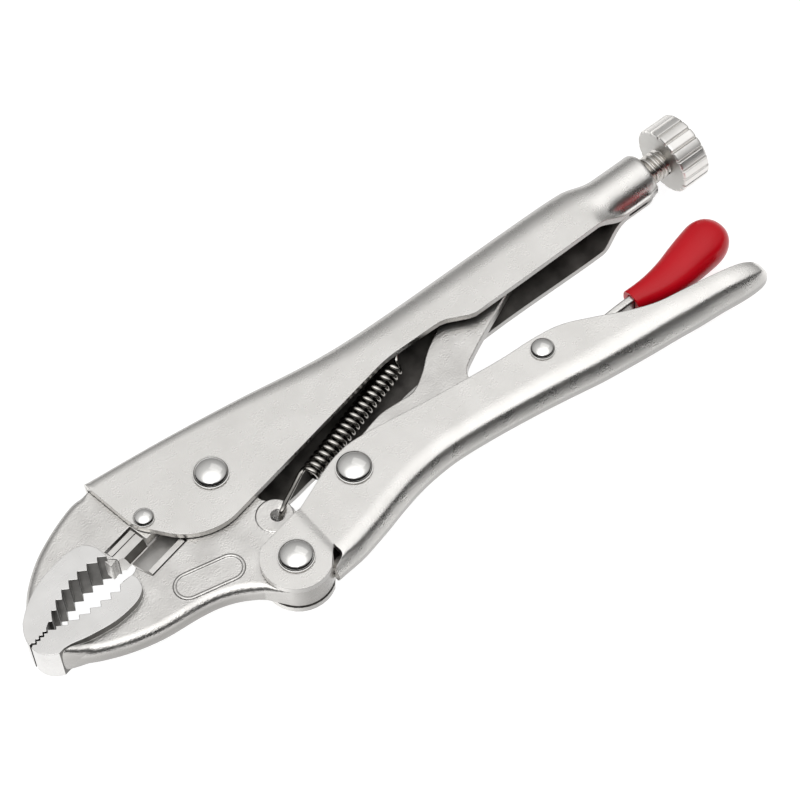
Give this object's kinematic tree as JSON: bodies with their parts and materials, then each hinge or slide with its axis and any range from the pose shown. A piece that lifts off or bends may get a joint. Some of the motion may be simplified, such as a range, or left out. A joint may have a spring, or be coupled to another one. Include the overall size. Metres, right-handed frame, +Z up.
{
  "type": "locking pliers",
  "caption": "Locking pliers with curved toothed jaws, a wire cutter, a toggle link, a release lever with a dipped grip and an adjusting screw with a fluted knob.",
  "frame": {"origin": "centre of the bounding box in X and Y, at its lowest point in Z", "axes": "+X from the jaws to the adjusting knob, +Y from the lower to the upper handle, +Z up from the surface the tool lies on"},
  "size_m": [0.1758, 0.051, 0.0152],
  "materials": {
    "satin_nickel": "satin nickel plating over forged and pressed steel",
    "ground_steel": "ground hardened steel",
    "polished_nickel": "bright nickel plating",
    "spring_steel": "dark drawn spring wire",
    "red_vinyl": "glossy dipped vinyl"
  },
  "bodies": {
    "upper_body": {"upper_handle": "satin_nickel", "fixed_jaw": "satin_nickel", "upper_cutter": "ground_steel", "jaw_pivot_rivet": "polished_nickel", "fixed_jaw_rivet": "polished_nickel", "jaw_spring": "spring_steel"},
    "jaw_body": {"lower_jaw": "satin_nickel", "lower_cutter": "ground_steel"},
    "handle_body": {"lower_handle": "satin_nickel", "handle_pivot_rivet": "polished_nickel", "link_pivot_rivet": "polished_nickel", "lever_pivot_rivet": "polished_nickel"},
    "link_body": {"toggle_link": "satin_nickel"},
    "lever_body": {"release_lever": "satin_nickel", "lever_grip": "red_vinyl"},
    "point_body": {"screw_point": "polished_nickel"},
    "knob_body": {"adjusting_screw": "polished_nickel", "adjusting_knob": "polished_nickel"}
  },
  "joints": [
    {"name": "jaw_pivot", "type": "hinge", "parent": "upper_body", "child": "jaw_body", "pos_m": [-0.03785, 0.01022, 0.0076], "axis": [0, 0, 1], "range_deg": [0, 14.8], "deforming": ["jaw_spring"]},
    {"name": "handle_pivot", "type": "hinge", "parent": "jaw_body", "child": "handle_body", "pos_m": [-0.0364, -0.01568, 0.0076], "axis": [0, 0, -1], "range_deg": [0, 56.7]},
    {"name": "link_pivot", "type": "hinge", "parent": "handle_body", "child": "link_body", "pos_m": [-0.01525, -0.00708, 0.0076], "axis": [0, 0, 1], "range_deg": [0, 56]},
    {"name": "lever_pivot", "type": "hinge", "parent": "handle_body", "child": "lever_body", "pos_m": [0.0307, -0.01038, 0.0076], "axis": [0, 0, -1], "range_deg": [0, 8]},
    {"name": "screw_feed", "type": "slide", "parent": "upper_body", "child": "point_body", "axis": [1, 0, 0], "range_m": [0, 0.012]},
    {"name": "knob_turn", "type": "hinge", "parent": "point_body", "child": "knob_body", "pos_m": [0.08105, 0.01122, 0.0076], "axis": [1, 0, 0], "range_deg": [0, 3400]}
  ],
  "couplings": [
    {"joint": "jaw_pivot", "follows": "handle_pivot", "ratio": 0.2593},
    {"joint": "link_pivot", "follows": "handle_pivot", "ratio": 0.985},
    {"joint": "screw_feed", "follows": "knob_turn", "m_per_rad": 0.00020213}
  ]
}
